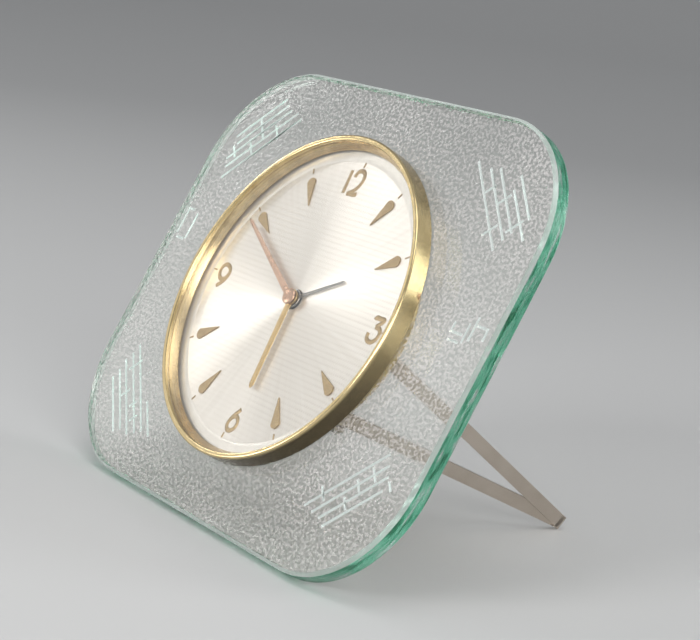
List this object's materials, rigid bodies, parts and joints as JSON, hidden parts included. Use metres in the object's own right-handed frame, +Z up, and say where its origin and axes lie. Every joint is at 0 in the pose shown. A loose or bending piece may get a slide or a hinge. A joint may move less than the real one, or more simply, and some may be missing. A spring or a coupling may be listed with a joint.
{
  "type": "strut alarm clock",
  "caption": "Table alarm clock: round brass-bezel dial set in a thick rounded glass plate that leans back on a folding V-shaped strut.",
  "frame": {"origin": "middle of the bounding box, at the surface that the clock stands on", "axes": "+Z up, the dial faces -Y and up, +X to the right of the dial seen from the front"},
  "size_m": [0.13, 0.0952, 0.0995],
  "materials": {
    "plate_glass": "thick glass, softly rippled face, green edge, cut lines in the corners",
    "crystal": "clear, polished",
    "bezel_brass": "polished gilt brass, light wear",
    "gilt": "polished gilt",
    "dial_silver": "satin silvered sunray with fine dotted rows",
    "rose_gilt": "rose gilt, satin",
    "dark_steel": "dark oxidised",
    "case_brass": "satin lacquered brass",
    "movement_brass": "plain brass",
    "plain_steel": "plain nickelled steel",
    "strut_steel": "nickelled strip, warm grey, lightly worn",
    "fibre": "pressed fibre"
  },
  "bodies": {
    "clock": {"glass_plate": "plate_glass", "bezel": "bezel_brass", "reveal_ring": "gilt", "crystal": "crystal", "dial": "dial_silver", "case_tube": "case_brass", "plate_washer": "fibre", "ring_nut": "case_brass", "front_frame": "movement_brass", "back_frame": "movement_brass", "pillar_1": "movement_brass", "pillar_2": "movement_brass", "pillar_3": "movement_brass", "time_barrel": "movement_brass", "alarm_barrel": "movement_brass", "third_wheel": "movement_brass", "escape_wheel": "movement_brass", "balance": "movement_brass", "back_cover": "case_brass", "cover_screw_1": "plain_steel", "cover_screw_2": "plain_steel", "cover_screw_3": "plain_steel", "strut_bracket": "strut_steel", "strut_pin": "plain_steel"},
    "minute_hand": {"minute_hand": "rose_gilt", "centre_wheel": "movement_brass"},
    "hour_hand": {"hour_hand": "gilt"},
    "alarm_hand": {"alarm_hand": "dark_steel"},
    "time_key": {"time_key": "case_brass"},
    "alarm_key": {"alarm_key": "case_brass"},
    "time_knob": {"time_knob": "case_brass"},
    "alarm_knob": {"alarm_knob": "case_brass"},
    "regulator": {"regulator": "plain_steel"},
    "alarm_button": {"alarm_button": "plain_steel"},
    "strut": {"strut": "strut_steel"}
  },
  "joints": [
    {"name": "minute_hand_turn", "type": "hinge", "parent": "clock", "child": "minute_hand", "pos_m": [0, -0.02712, 0.05163], "axis": [0, 0.9081, -0.4188], "continuous": true},
    {"name": "hour_hand_turn", "type": "hinge", "parent": "clock", "child": "hour_hand", "pos_m": [0, -0.02712, 0.05163], "axis": [0, 0.9081, -0.4188], "continuous": true},
    {"name": "time_knob_turn", "type": "hinge", "parent": "clock", "child": "time_knob", "pos_m": [-0.00801, -0.03327, 0.03354], "axis": [0, 0.9081, -0.4188], "continuous": true},
    {"name": "alarm_hand_turn", "type": "hinge", "parent": "clock", "child": "alarm_hand", "pos_m": [0, -0.02712, 0.05163], "axis": [0, 0.9081, -0.4188], "continuous": true},
    {"name": "alarm_knob_turn", "type": "hinge", "parent": "clock", "child": "alarm_knob", "pos_m": [0.00601, -0.02908, 0.04263], "axis": [0, 0.9081, -0.4188], "continuous": true},
    {"name": "time_key_turn", "type": "hinge", "parent": "clock", "child": "time_key", "pos_m": [-0.011, -0.02049, 0.06123], "axis": [0, 0.9081, -0.4188], "continuous": true},
    {"name": "alarm_key_turn", "type": "hinge", "parent": "clock", "child": "alarm_key", "pos_m": [0.011, -0.02049, 0.06123], "axis": [0, 0.9081, -0.4188], "continuous": true},
    {"name": "regulator_swing", "type": "hinge", "parent": "clock", "child": "regulator", "pos_m": [0, -0.01945, 0.0635], "axis": [0, -0.9081, 0.4188], "range_deg": [-12, 12]},
    {"name": "alarm_button_slide", "type": "slide", "parent": "clock", "child": "alarm_button", "axis": [0, -0.9081, 0.4188], "range_m": [0, 0.0012]},
    {"name": "strut_fold", "type": "hinge", "parent": "clock", "child": "strut", "pos_m": [0.01615, -0.01359, 0.03394], "axis": [0.2198, 0.4085, 0.8859], "range_deg": [0, 94]}
  ],
  "couplings": [
    {"joint": "hour_hand_turn", "follows": "minute_hand_turn", "ratio": 0.083333},
    {"joint": "time_knob_turn", "follows": "minute_hand_turn", "ratio": -1},
    {"joint": "alarm_knob_turn", "follows": "alarm_hand_turn", "ratio": -1}
  ]
}
